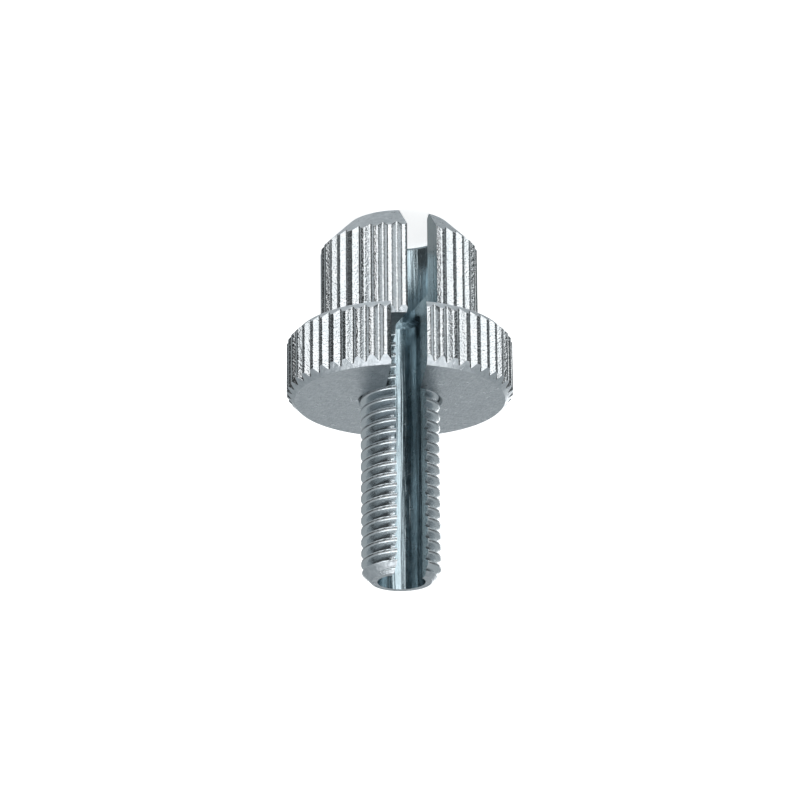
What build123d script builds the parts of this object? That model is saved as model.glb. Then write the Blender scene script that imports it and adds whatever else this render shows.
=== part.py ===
from build123d import *

import math
import os

# Slotted cable adjusting screw with a knurled lock ring, in millimetres.
# The screw stands on the end of its knurled head: the head's end face lies in z = 0,
# the axis is Z and the threaded tip points up. The screw's cable slot faces -Y.

# Knurled head
HEAD_DIAMETER = 14.0
HEAD_LENGTH = 10.4
HEAD_END_CHAMFER = 2.3  # wide 45 degree chamfer round the head's end
HEAD_UNDER_CHAMFER = 0.5  # on the side that the lock ring meets

# Socket in the head for the ferrule of the cable's casing, and the web that stops it
FERRULE_DIAMETER = 8.0
FERRULE_CLEARANCE = 0.1  # radial
SOCKET_DEPTH = 7.4
SOCKET_MOUTH_CHAMFER = 0.3
WEB_THICKNESS = 0.9
WEB_HOLE_DIAMETER = 2.9

# Threaded shank, kept plain at the thread's outer diameter, and the bore along it
THREAD_DIAMETER = 7.0
SHANK_BARE_LENGTH = 16.7  # what stands past the lock ring while the ring is against the head
SHANK_END_CHAMFER = 0.85
BORE_DIAMETER = 4.2
DRILL_POINT_ANGLE = 118.0  # degrees, where the bore ends under the web

# Slot that lets the inner cable in from the side, open from the rim to the axis
CABLE_SLOT_WIDTH = 2.8

# Knurled lock ring on the thread
RING_DIAMETER = 20.0
RING_THICKNESS = 5.9
RING_HEAD_SIDE_CHAMFER = 0.75
RING_TIP_SIDE_CHAMFER = 0.7
RING_BORE_CLEARANCE = 0.05  # radial, over the thread's outer diameter
RING_MOUTH_CHAMFER = 0.2  # at both ends of the threaded hole
RING_SLOT_EXTRA = 0.3  # the ring's slot is this much wider than the screw's
RING_TURN = 13.1  # degrees from the screw's slot to the ring's slot

# Straight knurl, the same on the head and on the ring
KNURL_PITCH = 1.25  # along the rim, before rounding to a whole number of teeth
KNURL_DEPTH = 0.42  # with the crest and the floor, this gives V grooves of about 84 degrees
KNURL_CREST = 0.36  # land left between two grooves
KNURL_FLOOR = 0.14  # width of a groove's floor, before it is rounded
KNURL_FLOOR_RADIUS = 0.14  # where the floor meets a groove's walls
HEAD_KNURL_TURN = -0.8  # degrees from the middle of the slot to the nearest groove
RING_KNURL_TURN = 1.2

# Levels along the axis
RING_HEAD_SIDE = HEAD_LENGTH  # the ring rests on the head's underside
RING_TIP_SIDE = RING_HEAD_SIDE + RING_THICKNESS
OVERALL_LENGTH = RING_TIP_SIDE + SHANK_BARE_LENGTH
WEB_FAR_SIDE = SOCKET_DEPTH + WEB_THICKNESS

# Directions in the XY plane, in degrees
SCREW_SLOT_ANGLE = -90.0
RING_SLOT_ANGLE = SCREW_SLOT_ANGLE + RING_TURN

CUT_PAST = 1.0  # cutters reach this far past the faces that they break through


def turned(*outline):
    """Solid of revolution about Z. The outline is a closed run of (radius, height) points."""
    corners = [(radius, 0, height) for radius, height in outline]
    return revolve(make_face(Polyline(*corners, close=True)), Axis.Z)


def knurled(blank, diameter, bottom, top, first_angle):
    """Cuts straight knurl grooves all round a turned blank's rim, between two levels."""
    rim = diameter / 2
    mouth = KNURL_PITCH - KNURL_CREST
    flare = (mouth - KNURL_FLOOR) / 2 / KNURL_DEPTH
    outer_half = mouth / 2 + flare * CUT_PAST
    section = make_face(
        Polyline(
            (rim - KNURL_DEPTH, -KNURL_FLOOR / 2),
            (rim + CUT_PAST, -outer_half),
            (rim + CUT_PAST, outer_half),
            (rim - KNURL_DEPTH, KNURL_FLOOR / 2),
            close=True,
        )
    )
    section = fillet(section.vertices().sort_by(Axis.X)[:2], KNURL_FLOOR_RADIUS)
    groove = Pos(0, 0, bottom - CUT_PAST) * extrude(section, top - bottom + 2 * CUT_PAST)
    teeth = round(math.pi * diameter / KNURL_PITCH)
    grooves = [Rot(0, 0, first_angle + 360 * tooth / teeth) * groove for tooth in range(teeth)]
    return blank - grooves


def radial_slot(width, reach, bottom, top, angle):
    """Cutter for a slot that runs from the axis out past the rim, in the given direction."""
    length = reach + CUT_PAST
    height = top - bottom + 2 * CUT_PAST
    cutter = Box(length, width, height, align=(Align.MIN, Align.CENTER, Align.MIN))
    return Rot(0, 0, angle) * Pos(0, 0, bottom - CUT_PAST) * cutter


def make_head_blank():
    """Plain turned head, with its end chamfer at z = 0 and its underside on the lock ring."""
    rim = HEAD_DIAMETER / 2
    return turned(
        (0, 0),
        (rim - HEAD_END_CHAMFER, 0),
        (rim, HEAD_END_CHAMFER),
        (rim, HEAD_LENGTH - HEAD_UNDER_CHAMFER),
        (rim - HEAD_UNDER_CHAMFER, HEAD_LENGTH),
        (0, HEAD_LENGTH),
    )


def make_shank():
    """Solid shank from inside the head to the chamfered tip."""
    radius = THREAD_DIAMETER / 2
    return turned(
        (0, SOCKET_DEPTH),
        (radius, SOCKET_DEPTH),
        (radius, OVERALL_LENGTH - SHANK_END_CHAMFER),
        (radius - SHANK_END_CHAMFER, OVERALL_LENGTH),
        (0, OVERALL_LENGTH),
    )


def make_stepped_bore():
    """Cutter for the ferrule socket, the small hole in its floor and the bore up the shank."""
    socket = FERRULE_DIAMETER / 2 + FERRULE_CLEARANCE
    mouth = socket + SOCKET_MOUTH_CHAMFER
    hole = WEB_HOLE_DIAMETER / 2
    bore = BORE_DIAMETER / 2
    point_length = (bore - hole) / math.tan(math.radians(DRILL_POINT_ANGLE / 2))
    return turned(
        (0, -CUT_PAST),
        (mouth + CUT_PAST, -CUT_PAST),
        (mouth, 0),
        (socket, SOCKET_MOUTH_CHAMFER),
        (socket, SOCKET_DEPTH),
        (hole, SOCKET_DEPTH),
        (hole, WEB_FAR_SIDE),
        (bore, WEB_FAR_SIDE + point_length),
        (bore, OVERALL_LENGTH + CUT_PAST),
        (0, OVERALL_LENGTH + CUT_PAST),
    )


def make_adjusting_screw():
    """Knurled head and hollow shank in one piece, slotted along its whole length."""
    knurl_angle = SCREW_SLOT_ANGLE + HEAD_KNURL_TURN
    head = knurled(make_head_blank(), HEAD_DIAMETER, 0, HEAD_LENGTH, knurl_angle)
    slot = radial_slot(CABLE_SLOT_WIDTH, HEAD_DIAMETER / 2, 0, OVERALL_LENGTH, SCREW_SLOT_ANGLE)
    return head + make_shank() - make_stepped_bore() - slot


def make_lock_ring():
    """Knurled ring with a slot of its own, run up the thread against the head's underside."""
    rim = RING_DIAMETER / 2
    bore = THREAD_DIAMETER / 2 + RING_BORE_CLEARANCE
    blank = turned(
        (bore + RING_MOUTH_CHAMFER, RING_HEAD_SIDE),
        (rim - RING_HEAD_SIDE_CHAMFER, RING_HEAD_SIDE),
        (rim, RING_HEAD_SIDE + RING_HEAD_SIDE_CHAMFER),
        (rim, RING_TIP_SIDE - RING_TIP_SIDE_CHAMFER),
        (rim - RING_TIP_SIDE_CHAMFER, RING_TIP_SIDE),
        (bore + RING_MOUTH_CHAMFER, RING_TIP_SIDE),
        (bore, RING_TIP_SIDE - RING_MOUTH_CHAMFER),
        (bore, RING_HEAD_SIDE + RING_MOUTH_CHAMFER),
    )
    knurl_angle = RING_SLOT_ANGLE + RING_KNURL_TURN
    ring = knurled(blank, RING_DIAMETER, RING_HEAD_SIDE, RING_TIP_SIDE, knurl_angle)
    width = CABLE_SLOT_WIDTH + RING_SLOT_EXTRA
    return ring - radial_slot(width, rim, RING_HEAD_SIDE, RING_TIP_SIDE, RING_SLOT_ANGLE)


os.makedirs("parts", exist_ok=True)
export_step(make_adjusting_screw(), "parts/adjusting_screw.step")
export_step(make_lock_ring(), "parts/lock_ring.step")
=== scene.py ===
"""Looks of a slotted cable adjusting screw and of the knurled lock ring on its thread.

Both pieces are machined the way the real ones are: a blank is turned, then knurled, threaded,
drilled and milled, and every tool leaves its own finish on the faces that it cut. The drilled and
milled faces also get a darker plate colour, which is painted shade in the socket, the bore and the
slots. Sizes are in millimetres until a piece is finished, and then it is scaled to the metres of
the frame.
"""

from __future__ import annotations

import logging
import math
import random
from dataclasses import dataclass
from enum import Enum
from typing import Callable

import bpy
from mathutils import Matrix, Vector


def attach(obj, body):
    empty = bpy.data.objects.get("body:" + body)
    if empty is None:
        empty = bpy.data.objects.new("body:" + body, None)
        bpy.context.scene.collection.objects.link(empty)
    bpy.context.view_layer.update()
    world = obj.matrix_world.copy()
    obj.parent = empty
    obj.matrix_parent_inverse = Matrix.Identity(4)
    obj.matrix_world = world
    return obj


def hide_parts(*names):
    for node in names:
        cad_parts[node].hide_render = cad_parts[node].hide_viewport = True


LOG = logging.getLogger("adjusting_screw")

MM = 0.001  # metres in a millimetre
CUT_PAST = 0.5  # cutters reach this far past the faces that they break through, in mm
WELD = 1e-4  # corners nearer than this are one corner, in mm
TURNED_STEPS = 180  # steps of a full turn on the lathe
SMOOTH_BELOW = 32.0  # degrees between two faces that shade as one
UPRIGHT_BELOW = 0.1  # a face stands upright if its normal rises or falls by less than this

Pair = tuple[float, float]
Triple = tuple[float, float, float]
Socket = bpy.types.NodeSocket

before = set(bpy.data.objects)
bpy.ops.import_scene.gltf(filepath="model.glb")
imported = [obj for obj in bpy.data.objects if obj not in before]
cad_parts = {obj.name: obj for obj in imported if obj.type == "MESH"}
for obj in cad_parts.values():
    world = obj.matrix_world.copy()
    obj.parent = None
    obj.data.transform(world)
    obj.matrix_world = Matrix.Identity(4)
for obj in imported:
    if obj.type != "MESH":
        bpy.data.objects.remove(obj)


# --------------------------------------------------------------------------------------------------
# Finishes
# --------------------------------------------------------------------------------------------------


class NodeBoard:
    """The node tree of a material or of the world, and the groups of nodes that recur in one."""

    def __init__(self, tree: bpy.types.NodeTree) -> None:
        """Takes hold of a node tree."""
        self.nodes = tree.nodes
        self.links = tree.links

    def stretched(self, place: Socket, scale: Triple) -> Socket:
        """Adds a mapping that draws a texture out along some of the axes.

        Args:
            place: the socket that gives the place on the piece.
            scale: for each axis, less than 1 to draw it out.

        Returns:
            The mapped place's socket.
        """
        mapping = self.nodes.new("ShaderNodeMapping")
        mapping.inputs["Scale"].default_value = scale
        self.links.new(place, mapping.inputs["Vector"])
        return mapping.outputs["Vector"]

    def noise(self, place: Socket, size: float, detail: float) -> Socket:
        """Adds a noise texture.

        Args:
            place: the socket that gives the place on the piece.
            size: width of a spot, in mm.
            detail: octaves of finer noise.

        Returns:
            The noise's value socket.
        """
        noise = self.nodes.new("ShaderNodeTexNoise")
        noise.inputs["Scale"].default_value = 1 / (size * MM)
        noise.inputs["Detail"].default_value = detail
        self.links.new(place, noise.inputs["Vector"])
        return noise.outputs["Fac"]

    def bump(
        self, relief: Socket, strength: float, height: float, below: Socket | None = None
    ) -> Socket:
        """Adds a bump node.

        Args:
            relief: the socket that gives the relief, from 0 to 1.
            strength: from 0 to 1.
            height: from the lowest to the highest point of the relief, in mm.
            below: normal socket of the bump that this one is added to.

        Returns:
            The bumped normal's socket.
        """
        bump = self.nodes.new("ShaderNodeBump")
        bump.inputs["Strength"].default_value = strength
        bump.inputs["Distance"].default_value = height * MM
        self.links.new(relief, bump.inputs["Height"])
        if below:
            self.links.new(below, bump.inputs["Normal"])
        return bump.outputs["Normal"]

    def ramp(self, value: Socket, start: Pair, end: Pair, kind: str = "SMOOTHSTEP") -> Socket:
        """Adds a step from one number to another.

        Args:
            value: the socket that is read.
            start: the values where the step begins and ends.
            end: what it gives before and after.
            kind: the map range node's interpolation.

        Returns:
            The result's socket.
        """
        step = self.nodes.new("ShaderNodeMapRange")
        step.interpolation_type = kind
        step.inputs["From Min"].default_value, step.inputs["From Max"].default_value = start
        step.inputs["To Min"].default_value, step.inputs["To Max"].default_value = end
        self.links.new(value, step.inputs["Value"])
        return step.outputs["Result"]

    def calculated(self, operation: str, one: Socket, other: Socket) -> Socket:
        """Adds a sum or a product.

        Args:
            operation: the math node's operation.
            one: the socket of the first number.
            other: the socket of the second number.

        Returns:
            The result's socket.
        """
        node = self.nodes.new("ShaderNodeMath")
        node.operation = operation
        self.links.new(one, node.inputs[0])
        self.links.new(other, node.inputs[1])
        return node.outputs["Value"]

    def share_along(self, direction: Socket, axis: Vector) -> Socket:
        """Adds a dot product, which says how much of a direction goes along an axis.

        Args:
            direction: the direction's socket.
            axis: the axis, one unit long.

        Returns:
            The socket of the number, from -1 to 1.
        """
        node = self.nodes.new("ShaderNodeVectorMath")
        node.operation = "DOT_PRODUCT"
        node.inputs[1].default_value = axis
        self.links.new(direction, node.inputs[0])
        return node.outputs["Value"]


@dataclass(frozen=True)
class Marks:
    """Fine lines that a tool leaves along its path.

    Attributes:
        width: width of a line, in mm.
        detail: octaves of finer lines.
        height: from a furrow to a ridge at full strength, in mm.
        stretch: for each axis, less than 1 to draw the lines out along it.
    """

    width: float
    detail: float
    height: float
    stretch: Triple


RINGS = Marks(width=0.06, detail=2.0, height=0.02, stretch=(0.03, 0.03, 1))
STREAKS = Marks(width=0.30, detail=3.0, height=0.06, stretch=(1, 1, 0.03))


@dataclass(frozen=True)
class PlatedFinish:
    """Bright zinc plate over steel, as one tool left it.

    Attributes:
        name: the material's name.
        tint: the plate's colour where it is clean.
        shade: the plate's colour where it is dull.
        roughness: the least and the most roughness.
        pit_size: how far apart the pits are, in mm.
        pit_depth: strength of the pits, from 0 to 1.
        ring_depth: strength of the turned tool marks round the axis, from 0 to 1.
        streak_depth: strength of the streaks along the axis, from 0 to 1.
        patch_size: how far apart the dull patches are, in mm.
        patch_detail: octaves of finer patches.
        grain_size: how far apart the smoother spots are, in pits.
        grain_detail: octaves of finer spots.
        grain_range: the noise's values where the roughness is least and most.
        pit_height: from the floor to the brim of a pit at full strength, in mm.
        pit_detail: octaves of finer pits.
    """

    name: str
    tint: Triple
    shade: Triple
    roughness: Pair
    pit_size: float
    pit_depth: float
    ring_depth: float = 0.0
    streak_depth: float = 0.0
    patch_size: float = 2.2
    patch_detail: float = 4.0
    grain_size: float = 3.0
    grain_detail: float = 3.0
    grain_range: Pair = (0.3, 0.7)
    pit_height: float = 0.06
    pit_detail: float = 2.0

    def material(self) -> bpy.types.Material:
        """Makes the material, or returns it if it is there already.

        Returns:
            The node material of this finish.
        """
        made = bpy.data.materials.get(self.name)
        if made:
            return made
        material = bpy.data.materials.new(self.name)
        material.use_nodes = True
        board = NodeBoard(material.node_tree)
        shader = board.nodes["Principled BSDF"]
        shader.inputs["Metallic"].default_value = 1.0
        place = board.nodes.new("ShaderNodeTexCoord").outputs["Object"]

        patches = board.noise(place, self.patch_size, self.patch_detail)
        colour = board.nodes.new("ShaderNodeMix")
        colour.data_type = "RGBA"
        board.links.new(patches, colour.inputs["Factor"])
        colour.inputs["A"].default_value = (*self.tint, 1.0)
        colour.inputs["B"].default_value = (*self.shade, 1.0)
        board.links.new(colour.outputs["Result"], shader.inputs["Base Color"])

        grain = board.noise(place, self.grain_size * self.pit_size, self.grain_detail)
        roughness = board.ramp(grain, self.grain_range, self.roughness, "LINEAR")
        board.links.new(roughness, shader.inputs["Roughness"])

        pits = board.noise(place, self.pit_size, self.pit_detail)
        relief = board.bump(pits, self.pit_depth, self.pit_height)
        for marks, depth in ((RINGS, self.ring_depth), (STREAKS, self.streak_depth)):
            if depth:
                drawn_out = board.stretched(place, marks.stretch)
                lines = board.noise(drawn_out, marks.width, marks.detail)
                relief = board.bump(lines, depth, marks.height, relief)
        board.links.new(relief, shader.inputs["Normal"])
        return material


class Tool(Enum):
    """The tool that cut a face, with the finish that it left; the drilled and milled finishes also
    carry a darker plate colour that is painted shade in the socket, the bore and the slots.
    """

    LATHE = PlatedFinish(
        name="plated_turned",
        tint=(0.78, 0.81, 0.84),
        shade=(0.38, 0.42, 0.45),
        roughness=(0.26, 0.40),
        pit_size=0.22,
        pit_depth=0.90,
        ring_depth=0.15,
        patch_size=0.40,
    )
    RIM = PlatedFinish(
        name="plated_rim",
        tint=(0.55, 0.56, 0.57),
        shade=(0.43, 0.46, 0.48),
        roughness=(0.12, 0.24),
        pit_size=0.17,
        pit_depth=0.70,
    )
    KNURL = PlatedFinish(
        name="plated_knurl",
        tint=(0.54, 0.55, 0.56),
        shade=(0.40, 0.44, 0.46),
        roughness=(0.12, 0.24),
        pit_size=0.17,
        pit_depth=0.75,
    )
    DIE = PlatedFinish(
        name="plated_thread",
        tint=(0.72, 0.76, 0.78),
        shade=(0.58, 0.63, 0.66),
        roughness=(0.16, 0.26),
        pit_size=0.18,
        pit_depth=0.22,
    )
    # Darker plate colour than the outer faces: painted shade of the socket and the bore, together
    # with the drill's real streaks.
    DRILL = PlatedFinish(
        name="plated_drilled_painted_shade",
        tint=(0.42, 0.50, 0.54),
        shade=(0.33, 0.42, 0.46),
        roughness=(0.17, 0.28),
        pit_size=0.30,
        pit_depth=0.12,
        streak_depth=1.0,
    )
    # Darker plate colour than the outer faces: painted shade of the slots' walls, together with the
    # cutter's real streaks.
    MILL = PlatedFinish(
        name="plated_milled_painted_shade",
        tint=(0.38, 0.43, 0.44),
        shade=(0.22, 0.27, 0.29),
        roughness=(0.14, 0.26),
        pit_size=0.20,
        pit_depth=0.35,
        streak_depth=0.4,
    )


# --------------------------------------------------------------------------------------------------
# Workshop: what a hand would do in the viewport
# --------------------------------------------------------------------------------------------------


class Workshop:
    """Turns, bores, mills and joins meshes with the editor's own operators."""

    @staticmethod
    def pick(piece: bpy.types.Object) -> None:
        """Selects one object alone and makes it active.

        Args:
            piece: the object.
        """
        bpy.ops.object.select_all(action="DESELECT")
        piece.select_set(True)
        bpy.context.view_layer.objects.active = piece

    @staticmethod
    def upright(face: bpy.types.MeshPolygon) -> bool:
        """Says whether a face stands upright."""
        return abs(face.normal.z) < UPRIGHT_BELOW

    @staticmethod
    def finish_with(piece: bpy.types.Object, tool: Tool) -> None:
        """Gives a whole blank, or the faces that a cutter leaves, one finish."""
        piece.data.materials.clear()
        piece.data.materials.append(tool.value.material())

    @staticmethod
    def finish_faces(
        piece: bpy.types.Object, tool: Tool, picked: Callable[[bpy.types.MeshPolygon], bool]
    ) -> None:
        """Gives some faces of a blank a finish of their own.

        Args:
            piece: the blank.
            tool: the tool whose finish it is.
            picked: says whether a face gets it.
        """
        piece.data.materials.append(tool.value.material())
        slot = len(piece.data.materials) - 1
        for face in piece.data.polygons:
            if picked(face):
                face.material_index = slot

    @staticmethod
    def outline(name: str, points: list[Pair], closed: bool) -> bpy.types.Object:
        """Draws a run of edges in the XZ plane, by extruding one corner from point to point.

        Args:
            name: the new object's name.
            points: (radius, height) of each corner, in mm.
            closed: whether the last corner is joined to the first.

        Returns:
            The object, in object mode.
        """
        bpy.ops.object.select_all(action="DESELECT")
        bpy.ops.mesh.primitive_plane_add(size=1)
        piece = bpy.context.object
        piece.name = piece.data.name = name
        bpy.ops.object.mode_set(mode="EDIT")
        bpy.ops.mesh.select_mode(type="VERT")
        bpy.ops.mesh.select_all(action="SELECT")
        bpy.ops.mesh.merge(type="CENTER")
        corners = [Vector((radius, 0, height)) for radius, height in points]
        bpy.ops.transform.translate(value=corners[0])
        for here, there in zip(corners, corners[1:]):
            bpy.ops.mesh.extrude_region_move(TRANSFORM_OT_translate={"value": there - here})
        if closed:
            bpy.ops.mesh.select_all(action="SELECT")
            bpy.ops.mesh.edge_face_add()
            bpy.ops.mesh.delete(type="ONLY_FACE")
        bpy.ops.object.mode_set(mode="OBJECT")
        return piece

    @staticmethod
    def close_up() -> None:
        """In edit mode, welds the seam and the poles and turns all faces outwards."""
        bpy.ops.mesh.select_all(action="SELECT")
        bpy.ops.mesh.remove_doubles(threshold=WELD)
        bpy.ops.mesh.normals_make_consistent(inside=False)

    @classmethod
    def turned(cls, name: str, points: list[Pair], closed: bool, tool: Tool) -> bpy.types.Object:
        """Spins an outline about the Z axis into a closed solid.

        Args:
            name: the new object's name.
            points: (radius, height) of each corner, in mm.
            closed: True for a ring, False for an outline that starts and ends on the axis.
            tool: the tool whose finish the faces get.

        Returns:
            The solid.
        """
        piece = cls.outline(name, points, closed)
        bpy.ops.object.mode_set(mode="EDIT")
        bpy.ops.mesh.select_all(action="SELECT")
        bpy.ops.mesh.spin(steps=TURNED_STEPS, angle=math.tau, center=(0, 0, 0), axis=(0, 0, 1))
        cls.close_up()
        bpy.ops.object.mode_set(mode="OBJECT")
        cls.finish_with(piece, tool)
        return piece

    @classmethod
    def turn_about_axis(cls, piece: bpy.types.Object, degrees: float) -> None:
        """Turns a piece's mesh about the Z axis.

        Args:
            piece: the object.
            degrees: how far, anticlockwise seen from +Z.
        """
        cls.pick(piece)
        piece.rotation_euler = (0, 0, math.radians(degrees))
        bpy.ops.object.transform_apply(location=False, rotation=True, scale=False)

    @classmethod
    def slot_cutter(
        cls, name: str, width: float, rim: float, levels: Pair, direction: float
    ) -> bpy.types.Object:
        """Makes the milling cutter of a slot from the axis out past a rim.

        Args:
            name: the new object's name.
            width: width of the slot, in mm.
            rim: radius of the rim, in mm.
            levels: lower and upper end of the slot, in mm.
            direction: direction that the slot faces, in degrees.

        Returns:
            The cutter.
        """
        low = Vector((0, -width / 2, levels[0] - CUT_PAST))
        high = Vector((rim + CUT_PAST, width / 2, levels[1] + CUT_PAST))
        bpy.ops.object.select_all(action="DESELECT")
        bpy.ops.mesh.primitive_cube_add(size=1, location=(low + high) / 2, scale=high - low)
        piece = bpy.context.object
        piece.name = piece.data.name = name
        bpy.ops.object.transform_apply(location=True, rotation=True, scale=True)
        cls.finish_with(piece, Tool.MILL)
        cls.turn_about_axis(piece, direction)
        return piece

    @classmethod
    def cut(cls, blank: bpy.types.Object, cutter: bpy.types.Object) -> None:
        """Cuts a cutter out of a blank and throws the cutter away.

        Args:
            blank: what is cut.
            cutter: what it is cut with, whose finish goes on the new faces.
        """
        cls.pick(blank)
        cut = blank.modifiers.new("cut", "BOOLEAN")
        cut.operation = "DIFFERENCE"
        cut.solver = "EXACT"
        cut.object = cutter
        cut.material_mode = "TRANSFER"
        bpy.ops.object.modifier_apply(modifier=cut.name)
        bpy.data.objects.remove(cutter)

    @staticmethod
    def joined(parts: list[bpy.types.Object]) -> bpy.types.Object:
        """Joins objects into the first of them.

        Args:
            parts: the objects.

        Returns:
            The joined object.
        """
        bpy.ops.object.select_all(action="DESELECT")
        for part in parts:
            part.select_set(True)
        bpy.context.view_layer.objects.active = parts[0]
        bpy.ops.object.join()
        return parts[0]

    @classmethod
    def to_frame(cls, piece: bpy.types.Object) -> None:
        """Scales a finished piece from millimetres to the frame's metres and shades it.

        Args:
            piece: the object.
        """
        cls.pick(piece)
        piece.scale = (MM, MM, MM)
        bpy.ops.object.transform_apply(location=False, rotation=False, scale=True)
        bpy.ops.object.shade_smooth_by_angle(angle=math.radians(SMOOTH_BELOW))


# --------------------------------------------------------------------------------------------------
# Knurl and thread
# --------------------------------------------------------------------------------------------------


@dataclass(frozen=True)
class WheelPass:
    """How evenly the knurling wheel went round a rim.

    Where its last pass met the first, one tooth may come out wider than the others.

    Attributes:
        seed: number that the grooves' unevenness is drawn from.
        wider_after: number of grooves before the wider tooth.
        wider_by: how much wider it is, in mm.
    """

    seed: int
    wider_after: int = 0
    wider_by: float = 0.0


@dataclass(frozen=True)
class Knurl:
    """Straight knurl round a rim: V grooves with a rounded floor and rounded edges.

    Attributes:
        pitch: distance between grooves along the rim, before rounding to whole teeth.
        depth: depth of a groove.
        crest: land left between two grooves, before its edges are rounded.
        floor: width of a groove's floor, before it is rounded.
        floor_radius: where the floor meets the walls.
        edge_radius: where the walls meet the land.
        arc_steps: steps of each rounding.
        way_out: from the land's edge to the cutter's own edge, outwards and along the rim.
        unevenness: how far a groove may stray along the rim, either way.
    """

    pitch: float = 1.25
    depth: float = 0.42
    crest: float = 0.36
    floor: float = 0.14
    floor_radius: float = 0.14
    edge_radius: float = 0.18
    arc_steps: int = 3
    way_out: Pair = (0.15, 0.02)
    unevenness: float = 0.03

    def half_section(self, rim: float) -> list[Vector]:
        """Gives half of a groove's section, from the middle of its floor to past the rim.

        Args:
            rim: radius of the rim.

        Returns:
            The corners: outwards from the axis is X, along the rim is Y.
        """
        foot = Vector((rim - self.depth, self.floor / 2))
        lean = math.atan2((self.pitch - self.crest) / 2 - foot.y, self.depth)
        turn = math.pi / 2 - lean
        up = Vector((math.cos(lean), math.sin(lean)))
        aside = Vector((-math.sin(lean), math.cos(lean)))
        section = []

        # The floor's rounding touches the floor and the wall.
        sink = self.floor_radius * math.tan(turn / 2)
        centre = Vector((foot.x + self.floor_radius, foot.y - sink))
        for step in range(self.arc_steps + 1):
            angle = turn * step / self.arc_steps
            outwards = Vector((-math.cos(angle), math.sin(angle)))
            section.append(centre + self.floor_radius * outwards)

        # The edge's rounding touches the wall and, from inside, the rim's circle.
        start = foot + aside * self.edge_radius
        reach = (rim - self.edge_radius) ** 2 - start.length_squared
        centre = start + up * (math.sqrt(start.dot(up) ** 2 + reach) - start.dot(up))
        for step in range(self.arc_steps + 1):
            angle = turn * (step / self.arc_steps - 1)
            outwards = Vector((math.cos(angle), math.sin(angle)))
            section.append(centre + self.edge_radius * outwards)
        return section + [section[-1] + Vector(self.way_out)]

    def groove(self, rim: float, low: float, high: float) -> bpy.types.Object:
        """Makes the cutter of one groove, on the +X side.

        Args:
            rim: radius of the rim.
            low: lower level of the rim.
            high: upper level of the rim.

        Returns:
            The cutter.
        """
        half = [(corner.x, corner.y) for corner in self.half_section(rim)]
        other = [(out, -along) for out, along in reversed(half)]
        cutter = Workshop.outline("groove", other + half, closed=True)
        length = high - low + 2 * CUT_PAST
        bpy.ops.object.mode_set(mode="EDIT")
        bpy.ops.mesh.select_all(action="SELECT")
        bpy.ops.mesh.edge_face_add()
        bpy.ops.mesh.extrude_region_move(TRANSFORM_OT_translate={"value": (0, -length, 0)})
        Workshop.close_up()
        bpy.ops.object.mode_set(mode="OBJECT")
        cutter.rotation_euler = (-math.pi / 2, 0, 0)
        cutter.location = (0, 0, low - CUT_PAST)
        Workshop.pick(cutter)
        bpy.ops.object.transform_apply(location=True, rotation=True, scale=False)
        Workshop.finish_with(cutter, Tool.KNURL)
        return cutter

    def cutter(
        self, rim: float, low: float, high: float, first: float, wheel: WheelPass
    ) -> bpy.types.Object:
        """Makes the cutter of all grooves round a rim.

        Args:
            rim: radius of the rim.
            low: lower level of the rim.
            high: upper level of the rim.
            first: direction of the first groove, in degrees.
            wheel: how evenly the wheel went round.

        Returns:
            The cutter.
        """
        teeth = round(math.tau * rim / self.pitch)
        wider = math.degrees(wheel.wider_by / rim)
        chance = random.Random(wheel.seed)
        pattern = self.groove(rim, low, high)
        grooves = []
        for tooth in range(teeth):
            copy = pattern.copy()
            copy.data = pattern.data.copy()
            bpy.context.scene.collection.objects.link(copy)
            stray = math.degrees(chance.uniform(-1, 1) * self.unevenness / rim)
            past_wider = wider if tooth > wheel.wider_after else 0
            even = first + (360 - wider) * tooth / teeth
            Workshop.turn_about_axis(copy, even + past_wider + stray)
            grooves.append(copy)
        bpy.data.objects.remove(pattern)
        return Workshop.joined(grooves)


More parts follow.
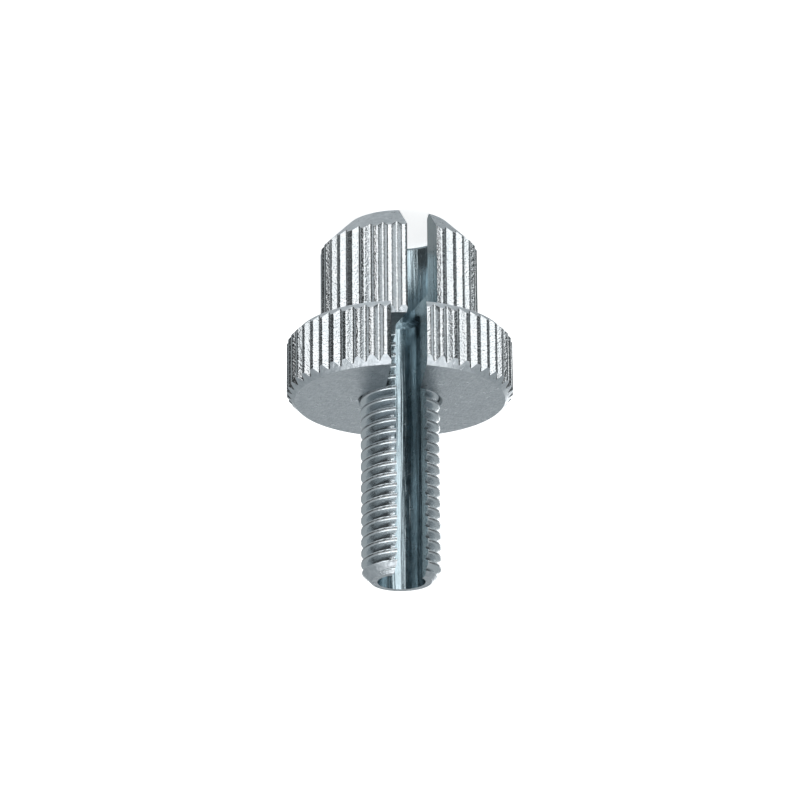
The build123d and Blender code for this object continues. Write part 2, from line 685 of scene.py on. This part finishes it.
@dataclass(frozen=True)
class Thread:
    """Right-hand metric thread on the outside of a shank, rolled, with two lips along its crest.

    Attributes:
        radius: over the lips.
        pitch: advance in one turn.
        depth: from the lips to the root.
        crest: width of the crest, with its lips.
        lip: width of each lip's outer slope.
        tip_drop: how far the slope that faces the tip falls.
        head_drop: how far the slope that faces the head falls.
        seam: width of the shallow seam between the lips.
        seam_floor: width of the seam's floor.
        seam_depth: depth of the seam.
        root: width of the groove's floor, before its corners are bevelled.
        root_bevel: width and height of that bevel.
        guard: width of the strips that keep the flanks flat up to their edges.
        way_out: how far the cutters go on past the lips.
        way_out_lean: how much the groove's cutter widens on its way out, on each side.
        steps: steps of one turn.
    """

    radius: float = 3.5
    pitch: float = 1.0
    depth: float = 0.60
    crest: float = 0.32
    lip: float = 0.08
    tip_drop: float = 0.055
    head_drop: float = 0.024
    seam: float = 0.14
    seam_floor: float = 0.02
    seam_depth: float = 0.025
    root: float = 0.12
    root_bevel: float = 0.03
    guard: float = 0.02
    way_out: float = 0.1
    way_out_lean: float = 0.02
    steps: int = 72

    def groove(self, drop: float) -> list[Pair]:
        """Gives half of the groove's section.

        Args:
            drop: how far the outer slope of the lip on this side falls.

        Returns:
            (radius, distance from the groove's middle) of each corner, from the root outwards.
        """
        foot = self.radius - self.depth
        low = Vector((foot + self.root_bevel, self.root / 2))
        high = Vector((self.radius - drop, (self.pitch - self.crest) / 2))
        step = (high - low).normalized() * self.guard
        return [
            (foot, self.root / 2 - self.root_bevel),
            tuple(low),
            tuple(low + step),
            tuple(high - step),
            tuple(high),
            (self.radius, high.y + self.lip),
            (self.radius + self.way_out, high.y + self.lip + self.way_out_lean),
        ]

    def crest_seam(self) -> list[Pair]:
        """Gives half of the section of the seam along the crest.

        Returns:
            (radius, distance from the seam's middle) of each corner, from the bottom outwards.
        """
        return [
            (self.radius - self.seam_depth, self.seam_floor / 2),
            (self.radius, self.seam / 2),
            (self.radius + self.way_out, self.seam / 2 + self.way_out),
        ]

    def cut_along(
        self,
        piece: bpy.types.Object,
        sides: tuple[list[Pair], list[Pair]],
        low: float,
        high: float,
        phase: float,
        tool: Tool,
    ) -> None:
        """Cuts a section along the helix into a shank.

        Args:
            piece: the shank.
            sides: the section's half towards lower levels and its half towards higher ones.
            low: height where the cut starts.
            high: height that it reaches.
            phase: direction in which it starts, in degrees.
            tool: the tool whose finish it leaves.
        """
        section = [(radius, low - half) for radius, half in sides[0]]
        section += [(radius, low + half) for radius, half in reversed(sides[1])]
        cutter = Workshop.outline("thread_cutter", section, closed=True)
        Workshop.pick(cutter)
        sweep = cutter.modifiers.new("sweep", "SCREW")
        sweep.axis = "Z"
        sweep.angle = math.tau
        sweep.screw_offset = self.pitch
        sweep.iterations = math.ceil((high - low) / self.pitch)
        sweep.steps = sweep.render_steps = self.steps
        sweep.use_merge_vertices = False
        bpy.ops.object.modifier_apply(modifier=sweep.name)
        bpy.ops.object.mode_set(mode="EDIT")
        bpy.ops.mesh.select_all(action="SELECT")
        bpy.ops.mesh.fill_holes(sides=0)
        Workshop.close_up()
        bpy.ops.object.mode_set(mode="OBJECT")
        Workshop.turn_about_axis(cutter, phase)
        Workshop.finish_with(cutter, tool)
        Workshop.cut(piece, cutter)

    def cut(self, piece: bpy.types.Object, low: float, high: float, phase: float) -> None:
        """Cuts the groove and the crest's seam into a shank.

        Args:
            piece: the shank.
            low: height where the groove starts.
            high: height that it reaches.
            phase: direction in which it starts, in degrees.
        """
        flanks = self.groove(self.tip_drop), self.groove(self.head_drop)
        self.cut_along(piece, flanks, low, high, phase, Tool.DIE)
        seam = self.crest_seam()
        self.cut_along(piece, (seam, seam), low + self.pitch / 2, high, phase, Tool.RIM)


# --------------------------------------------------------------------------------------------------
# The two pieces
# --------------------------------------------------------------------------------------------------


@dataclass
class AdjustingScrew:
    """The hollow screw: knurled head, ferrule socket, web and slotted threaded shank.

    Lengths are in mm and directions in degrees. It stands on its head's end, at height 0.

    Attributes:
        node: the solid of the frame that it stands for.
        body: the body that it rides on.
        head_radius: over the knurl.
        head_length: from the head's end to the shank.
        end_chamfer: at the head's end.
        under_chamfer: on the head's side towards the ring.
        socket_radius: of the socket for the ferrule.
        socket_depth: from the head's end to the web.
        socket_mouth: chamfer at the socket's mouth.
        web: thickness of the web that stops the ferrule.
        web_hole_radius: of the cable's hole through the web.
        bore_radius: of the bore along the shank.
        drill_point: angle of the drill's point, past the web.
        length: from the head's end to the shank's tip.
        tip_chamfer: at the shank's tip.
        slot_width: of the slot for the cable, from the rim to the axis.
        slot_direction: direction that the slot faces.
        knurl: the knurl's section.
        knurl_turn: from the slot's direction to the first groove.
        wheel: how evenly the knurling wheel went round.
        thread: the thread's section.
        thread_start: height where the thread's groove starts, inside the ring.
        thread_run_out: how far past the shank's tip the groove goes on.
        thread_phase: direction in which the groove starts.
    """

    node: str = "adjusting_screw"
    body: str = "screw"
    head_radius: float = 7.0
    head_length: float = 10.4
    end_chamfer: float = 2.3
    under_chamfer: float = 0.5
    socket_radius: float = 4.1
    socket_depth: float = 7.4
    socket_mouth: float = 0.3
    web: float = 0.9
    web_hole_radius: float = 1.45
    bore_radius: float = 2.1
    drill_point: float = 118.0
    length: float = 33.0
    tip_chamfer: float = 0.85
    slot_width: float = 2.8
    slot_direction: float = -90.0
    knurl: Knurl = Knurl()
    knurl_turn: float = -0.8
    wheel: WheelPass = WheelPass(seed=3, wider_after=5, wider_by=0.25)
    thread: Thread = Thread()
    thread_start: float = 11.4
    thread_run_out: float = 0.6
    thread_phase: float = -167.0

    def blank(self) -> bpy.types.Object:
        """Turns the head and the shank from one bar.

        Returns:
            The solid blank.
        """
        shank = self.thread.radius
        outline = [
            (0, 0),
            (self.head_radius - self.end_chamfer, 0),
            (self.head_radius, self.end_chamfer),
            (self.head_radius, self.head_length - self.under_chamfer),
            (self.head_radius - self.under_chamfer, self.head_length),
            (shank, self.head_length),
            (shank, self.length - self.tip_chamfer),
            (shank - self.tip_chamfer, self.length),
            (0, self.length),
        ]
        blank = Workshop.turned("adjusting_screw_visual", outline, closed=False, tool=Tool.LATHE)
        Workshop.finish_faces(
            blank,
            Tool.RIM,
            lambda face: Workshop.upright(face) and face.center.z < self.head_length,
        )
        Workshop.finish_faces(
            blank,
            Tool.DIE,
            lambda face: Workshop.upright(face) and face.center.z > self.head_length,
        )
        return blank

    def drill(self) -> bpy.types.Object:
        """Makes the stepped drill for the socket, the web's hole and the bore.

        Returns:
            The cutter.
        """
        web_far_side = self.socket_depth + self.web
        step = self.bore_radius - self.web_hole_radius
        point = step / math.tan(math.radians(self.drill_point / 2))
        mouth = self.socket_radius + self.socket_mouth
        outline = [
            (0, -CUT_PAST),
            (mouth + CUT_PAST, -CUT_PAST),
            (mouth, 0),
            (self.socket_radius, self.socket_mouth),
            (self.socket_radius, self.socket_depth),
            (self.web_hole_radius, self.socket_depth),
            (self.web_hole_radius, web_far_side),
            (self.bore_radius, web_far_side + point),
            (self.bore_radius, self.length + CUT_PAST),
            (0, self.length + CUT_PAST),
        ]
        return Workshop.turned("drill", outline, closed=False, tool=Tool.DRILL)

    def slot(self) -> bpy.types.Object:
        """Makes the milling cutter of the cable slot.

        Returns:
            The cutter.
        """
        levels = (0, self.length)
        return Workshop.slot_cutter(
            "slot", self.slot_width, self.head_radius, levels, self.slot_direction
        )

    def build(self) -> bpy.types.Object:
        """Machines the screw and puts it in the frame.

        Returns:
            The finished piece.
        """
        piece = self.blank()
        first = self.slot_direction + self.knurl_turn
        grooves = self.knurl.cutter(self.head_radius, 0, self.head_length, first, self.wheel)
        Workshop.cut(piece, grooves)
        run_out = self.length + self.thread_run_out
        self.thread.cut(piece, self.thread_start, run_out, self.thread_phase)
        Workshop.cut(piece, self.drill())
        Workshop.cut(piece, self.slot())
        Workshop.to_frame(piece)
        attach(piece, self.body)
        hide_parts(self.node)
        return piece


@dataclass
class LockRing:
    """The knurled ring that locks the screw in its lever.

    Lengths are in mm and directions in degrees.

    Attributes:
        node: the solid of the frame that it stands for.
        body: the body that it rides on.
        radius: over the knurl.
        low: height of its face against the head.
        thickness: from face to face.
        head_side_chamfer: round the face towards the head.
        tip_side_chamfer: round the face towards the tip.
        bore_radius: of its hole, which clears the thread.
        mouth_chamfer: at both ends of the hole.
        slot_width: of its slot, from the rim to the hole.
        slot_direction: direction that the slot faces.
        knurl: the knurl's section.
        knurl_turn: from the slot's direction to the first groove.
        wheel: how evenly the knurling wheel went round.
    """

    node: str = "lock_ring"
    body: str = "ring"
    radius: float = 10.0
    low: float = 10.4
    thickness: float = 5.9
    head_side_chamfer: float = 0.75
    tip_side_chamfer: float = 0.7
    bore_radius: float = 3.55
    mouth_chamfer: float = 0.2
    slot_width: float = 3.1
    slot_direction: float = -76.9
    knurl: Knurl = Knurl()
    knurl_turn: float = 1.2
    wheel: WheelPass = WheelPass(seed=8)

    def blank(self) -> bpy.types.Object:
        """Turns the ring with its hole.

        Returns:
            The solid blank.
        """
        high = self.low + self.thickness
        outline = [
            (self.bore_radius + self.mouth_chamfer, self.low),
            (self.radius - self.head_side_chamfer, self.low),
            (self.radius, self.low + self.head_side_chamfer),
            (self.radius, high - self.tip_side_chamfer),
            (self.radius - self.tip_side_chamfer, high),
            (self.bore_radius + self.mouth_chamfer, high),
            (self.bore_radius, high - self.mouth_chamfer),
            (self.bore_radius, self.low + self.mouth_chamfer),
        ]
        blank = Workshop.turned("lock_ring_visual", outline, closed=True, tool=Tool.LATHE)
        mouth = self.bore_radius + self.mouth_chamfer
        Workshop.finish_faces(
            blank,
            Tool.RIM,
            lambda face: Workshop.upright(face) and face.center.xy.length > mouth,
        )
        return blank

    def slot(self) -> bpy.types.Object:
        """Makes the milling cutter of the ring's slot.

        Returns:
            The cutter.
        """
        levels = (self.low, self.low + self.thickness)
        return Workshop.slot_cutter(
            "ring_slot", self.slot_width, self.radius, levels, self.slot_direction
        )

    def build(self) -> bpy.types.Object:
        """Machines the ring and puts it in the frame.

        Returns:
            The finished piece.
        """
        piece = self.blank()
        first = self.slot_direction + self.knurl_turn
        high = self.low + self.thickness
        Workshop.cut(piece, self.knurl.cutter(self.radius, self.low, high, first, self.wheel))
        Workshop.cut(piece, self.slot())
        Workshop.to_frame(piece)
        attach(piece, self.body)
        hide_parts(self.node)
        return piece


# --------------------------------------------------------------------------------------------------
# Studio
# --------------------------------------------------------------------------------------------------


@dataclass(frozen=True)
class Softbox:
    """One soft lamp near the part, facing it.

    Attributes:
        name: the lamp's name.
        azimuth: direction from the part, in degrees from the camera's.
        elevation: above the horizon, in degrees.
        size: width and height, in mm.
        glow: brightness of its face, where 1 is white.
    """

    name: str
    azimuth: float
    elevation: float
    size: Pair
    glow: float


SOFTBOXES = (
    Softbox("softbox_front", azimuth=-3, elevation=-26, size=(550, 280), glow=2.05),
    Softbox("softbox_top", azimuth=0, elevation=75, size=(580, 220), glow=1.5),
    Softbox("softbox_low", azimuth=0, elevation=-72, size=(680, 220), glow=1.4),
    Softbox("softbox_left", azimuth=100, elevation=-54, size=(360, 180), glow=0.7),
    Softbox("softbox_right", azimuth=-65, elevation=-52, size=(460, 190), glow=0.9),
    Softbox("softbox_back", azimuth=190, elevation=-10, size=(300, 200), glow=1.8),
)


@dataclass(frozen=True)
class Room:
    """The dim room that the metal mirrors, with a dark band round it that ends behind the part.

    A direction from the part is measured by how far it goes up, to the camera and to the camera's
    side, each from -1 to 1. An edge of the band fades from its first number to its second.

    Attributes:
        colour: the room's colour.
        glow: brightness of the room, where 1 is white.
        dark_glow: brightness of the dark band.
        band_low: how far up the band's lower edge is.
        band_high: how far up its upper edge is.
        band_back: how far to the camera it begins, which leaves the back of the room open.
        dip: how much lower its lower edge goes, in front of the part on one side.
        dip_front: how far to the camera the dip begins.
        dip_side: how far to the camera's side the dip begins.
    """

    colour: Triple = (0.90, 0.97, 1.0)
    glow: float = 0.45
    dark_glow: float = 0.06
    band_low: Pair = (-0.46, -0.36)
    band_high: Pair = (0.25, 0.03)
    band_back: Pair = (-0.52, -0.38)
    dip: float = 0.25
    dip_front: Pair = (0.10, 0.50)
    dip_side: Pair = (-0.05, 0.10)

    def light(self, board: NodeBoard, to_camera: Vector, to_side: Vector) -> Socket:
        """Adds the nodes for the room's light: dim above and below, and dark in the band.

        Args:
            board: the world's nodes.
            to_camera: level direction from the part to the camera.
            to_side: level direction from the part to the camera's side.

        Returns:
            The strength's socket.
        """
        direction = board.nodes.new("ShaderNodeTexCoord").outputs["Generated"]
        apart = board.nodes.new("ShaderNodeSeparateXYZ")
        board.links.new(direction, apart.inputs["Vector"])
        up = apart.outputs["Z"]
        front = board.share_along(direction, to_camera)
        side = board.share_along(direction, to_side)

        in_front = board.ramp(front, self.dip_front, (0, self.dip))
        on_side = board.ramp(side, self.dip_side, (0, 1))
        dip = board.calculated("MULTIPLY", in_front, on_side)
        over = board.ramp(board.calculated("ADD", up, dip), self.band_low, (0, 1))
        under = board.ramp(up, self.band_high, (0, 1))
        before = board.ramp(front, self.band_back, (0, 1))
        between = board.calculated("MULTIPLY", over, under)
        dark = board.calculated("MULTIPLY", between, before)
        return board.ramp(dark, (0, 1), (self.glow, self.dark_glow))


@dataclass
class Studio:
    """Pale floor, soft lamps, the room and the camera.

    Attributes:
        aim_height: height that the camera looks at, in mm.
        azimuth: direction of the camera, in degrees.
        elevation: height of the camera above the horizon, in degrees.
        distance: from the camera to what it looks at, in mm.
        width_seen: width of the view at that distance, in mm.
        upside_down: the camera's turn about its own line of sight, in degrees.
        sensor: width of the camera's sensor, in mm.
        clip: how near and how far the camera sees, in metres.
        lamp_distance: from the part to each softbox, in mm.
        floor_size: width of the floor, in metres.
        floor_pale: the floor's grey.
        floor_roughness: the floor's roughness.
        floor_lift: light that the floor gives to the camera alone, which makes it white there.
        room: the room round the part.
    """

    aim_height: float = 16.18
    azimuth: float = 18.1
    elevation: float = 20.15
    distance: float = 350.0
    width_seen: float = 70.55
    upside_down: float = 179.53
    sensor: float = 36.0
    clip: Pair = (0.01, 10.0)
    lamp_distance: float = 400.0
    floor_size: float = 6.0
    floor_pale: float = 0.82
    floor_roughness: float = 0.9
    floor_lift: float = 0.8
    room: Room = Room()

    @staticmethod
    def backward(azimuth: float, elevation: float) -> Vector:
        """Gives the direction from the object to a place round it.

        Args:
            azimuth: in degrees, 0 at -Y and 90 at +X.
            elevation: above the horizon, in degrees.

        Returns:
            The unit vector.
        """
        a, e = math.radians(azimuth), math.radians(elevation)
        return Vector((math.sin(a) * math.cos(e), -math.cos(a) * math.cos(e), math.sin(e)))

    def place(self, back: Vector, distance: float) -> Vector:
        """Gives the place, in metres, that is a distance in mm from what the camera looks at."""
        return Vector((0, 0, self.aim_height * MM)) + back * distance * MM

    def camera(self) -> None:
        """Sets up the camera. The part stands on its head, and the view turns it over."""
        data = bpy.data.cameras.new("camera")
        data.sensor_width = self.sensor
        data.lens = data.sensor_width * self.distance / self.width_seen
        data.clip_start, data.clip_end = self.clip
        camera = bpy.data.objects.new("camera", data)
        bpy.context.scene.collection.objects.link(camera)
        back = self.backward(self.azimuth, self.elevation)
        camera.location = self.place(back, self.distance)
        level = (-back).to_track_quat("-Z", "Y").to_matrix()
        roll = Matrix.Rotation(math.radians(self.upside_down), 3, "Z")
        camera.rotation_mode = "QUATERNION"
        camera.rotation_quaternion = (level @ roll).to_quaternion()
        bpy.context.scene.camera = camera

    def hang(self, softbox: Softbox) -> None:
        """Hangs one softbox.

        Args:
            softbox: which one.
        """
        data = bpy.data.lights.new(softbox.name, "AREA")
        data.shape = "RECTANGLE"
        data.size, data.size_y = (side * MM for side in softbox.size)
        data.energy = softbox.glow * math.pi * data.size * data.size_y
        lamp = bpy.data.objects.new(softbox.name, data)
        bpy.context.scene.collection.objects.link(lamp)
        back = self.backward(self.azimuth + softbox.azimuth, softbox.elevation)
        lamp.location = self.place(back, self.lamp_distance)
        lamp.rotation_mode = "QUATERNION"
        lamp.rotation_quaternion = (-back).to_track_quat("-Z", "Y")
        lamp.visible_camera = False

    def floor(self) -> None:
        """Lays the pale floor. The camera sees it white, with the part's soft shadow on it."""
        bpy.ops.object.select_all(action="DESELECT")
        bpy.ops.mesh.primitive_plane_add(size=self.floor_size)
        floor = bpy.context.object
        floor.name = "floor"
        material = bpy.data.materials.new("pale_floor")
        material.use_nodes = True
        board = NodeBoard(material.node_tree)
        shader = board.nodes["Principled BSDF"]
        shader.inputs["Base Color"].default_value = (*[self.floor_pale] * 3, 1)
        shader.inputs["Roughness"].default_value = self.floor_roughness
        shader.inputs["Specular IOR Level"].default_value = 0.0
        shader.inputs["Emission Color"].default_value = (1, 1, 1, 1)
        path = board.nodes.new("ShaderNodeLightPath")
        lift = board.nodes.new("ShaderNodeMath")
        lift.operation = "MULTIPLY"
        lift.inputs[1].default_value = self.floor_lift
        board.links.new(path.outputs["Is Camera Ray"], lift.inputs[0])
        board.links.new(lift.outputs["Value"], shader.inputs["Emission Strength"])
        floor.data.materials.append(material)
        floor.visible_glossy = False
        floor.visible_shadow = False

    def world(self) -> None:
        """Makes the dim room round the part, with a white backdrop for the camera."""
        world = bpy.data.worlds.new("studio")
        bpy.context.scene.world = world
        world.use_nodes = True
        world.cycles.sampling_method = "NONE"
        board = NodeBoard(world.node_tree)
        board.nodes.clear()
        out = board.nodes.new("ShaderNodeOutputWorld")
        room = board.nodes.new("ShaderNodeBackground")
        room.inputs["Color"].default_value = (*self.room.colour, 1)
        to_camera = self.backward(self.azimuth, 0)
        to_side = self.backward(self.azimuth + 90, 0)
        board.links.new(self.room.light(board, to_camera, to_side), room.inputs["Strength"])
        backdrop = board.nodes.new("ShaderNodeBackground")
        backdrop.inputs["Color"].default_value = (1, 1, 1, 1)
        path = board.nodes.new("ShaderNodeLightPath")
        mix = board.nodes.new("ShaderNodeMixShader")
        board.links.new(path.outputs["Is Camera Ray"], mix.inputs["Fac"])
        board.links.new(room.outputs["Background"], mix.inputs[1])
        board.links.new(backdrop.outputs["Background"], mix.inputs[2])
        board.links.new(mix.outputs["Shader"], out.inputs["Surface"])

    def set_up(self) -> None:
        """Builds the whole studio."""
        self.floor()
        self.world()
        for softbox in SOFTBOXES:
            self.hang(softbox)
        self.camera()
        view = bpy.context.scene.view_settings
        view.view_transform = "Standard"


def main() -> None:
    """Builds both pieces and the studio."""
    logging.basicConfig(level=logging.INFO, format="%(message)s")
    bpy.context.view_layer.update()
    for maker in (AdjustingScrew(), LockRing()):
        piece = maker.build()
        LOG.info("%s: %d faces", piece.name, len(piece.data.polygons))
    Studio().set_up()


if __name__ == "__main__":
    main()
